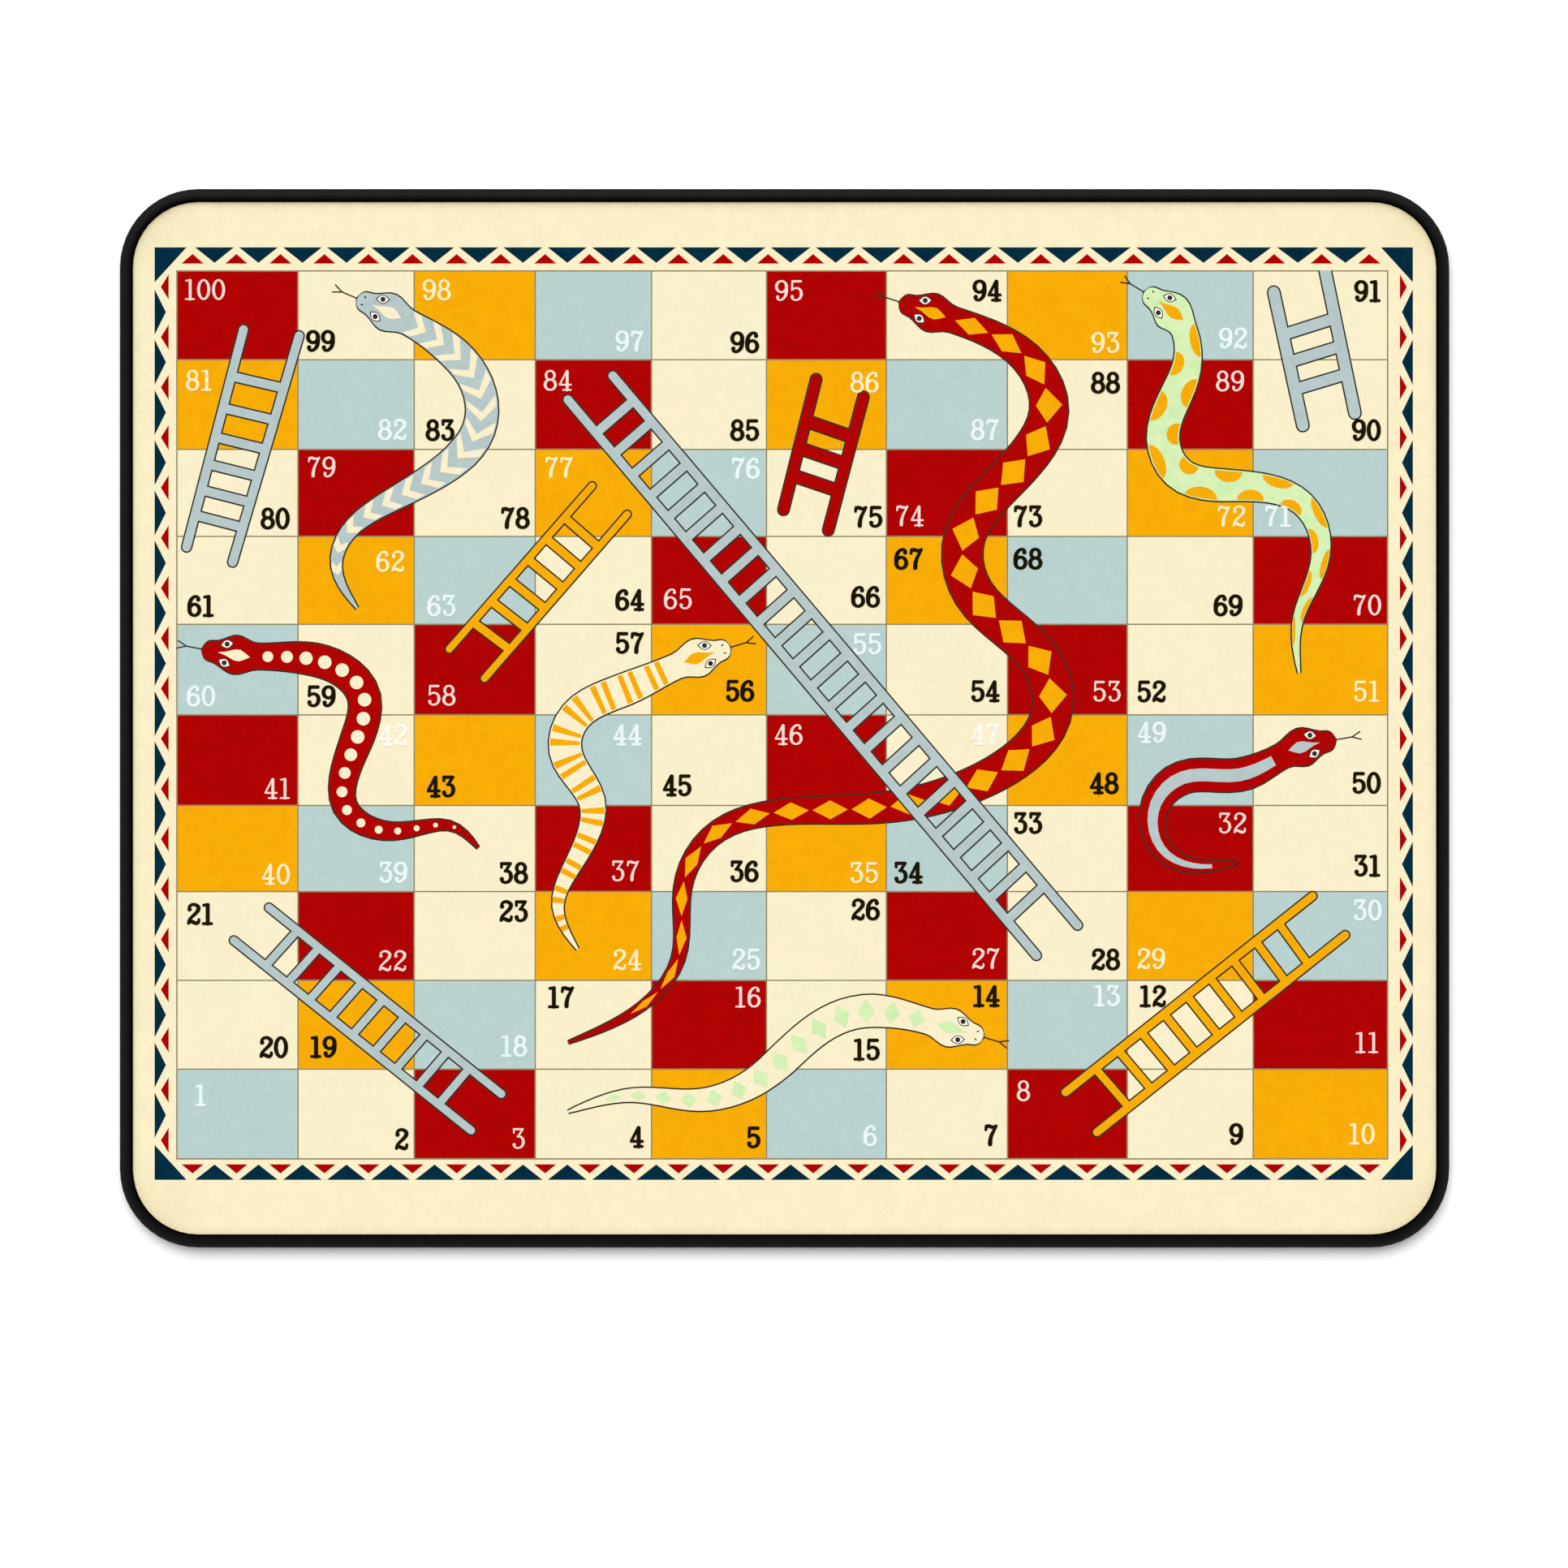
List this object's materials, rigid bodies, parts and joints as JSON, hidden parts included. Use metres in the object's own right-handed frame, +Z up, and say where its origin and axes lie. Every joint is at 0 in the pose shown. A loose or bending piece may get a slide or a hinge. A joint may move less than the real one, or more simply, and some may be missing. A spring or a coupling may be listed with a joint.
{
  "type": "snakes and ladders board",
  "caption": "Rigid flat snakes and ladders game board: a laminated sheet with rounded corners and a printed grid, bound all round by a soft black edge.",
  "frame": {"origin": "centre of the underside, on the flat that the rubber edge rests on", "axes": "+X along the board's length, the way its printed numbers read; +Y to the top of the print; +Z up, out of the printed face"},
  "size_m": [0.4, 0.3186, 0.007],
  "materials": {
    "rubber_black": "satin black rubber",
    "core_grey": "plain grey board",
    "face_paper": "matte laminated cream paper",
    "back_paper": "matte black lining paper",
    "ink_line": "fine olive-grey printed lines",
    "ink_cream": "matte cream print",
    "ink_red": "matte deep red print",
    "ink_amber": "matte amber print",
    "ink_blue": "matte pale blue print",
    "ink_navy": "matte navy print",
    "ink_keyline": "dark printed outline",
    "ink_steel": "matte blue-grey print",
    "ink_green": "matte pale green print"
  },
  "bodies": {
    "root": {"edge_rim": "rubber_black", "core_board": "core_grey", "face_sheet": "face_paper", "back_sheet": "back_paper", "grid_lines": "ink_line", "cream_squares": "ink_cream", "red_squares": "ink_red", "amber_squares": "ink_amber", "blue_squares": "ink_blue", "border_navy": "ink_navy", "border_red": "ink_red", "ladder_outlines": "ink_keyline", "snake_outlines": "ink_keyline", "snake_eyes": "ink_keyline", "ladder_to_100": "ink_steel", "ladder_to_91": "ink_steel", "ladder_to_86": "ink_red", "ladder_to_84": "ink_steel", "ladder_to_77": "ink_amber", "ladder_to_30": "ink_amber", "ladder_to_21": "ink_steel", "snake_from_99": "ink_steel", "snake_from_94": "ink_red", "snake_from_92": "ink_green", "snake_from_60": "ink_red", "snake_from_56": "ink_cream", "snake_from_50": "ink_red", "snake_from_14": "ink_cream", "markings_99": "ink_cream", "markings_94": "ink_amber", "markings_92": "ink_amber", "markings_60": "ink_cream", "markings_56": "ink_amber", "markings_50": "ink_steel", "markings_14": "ink_green"}
  },
  "joints": []
}
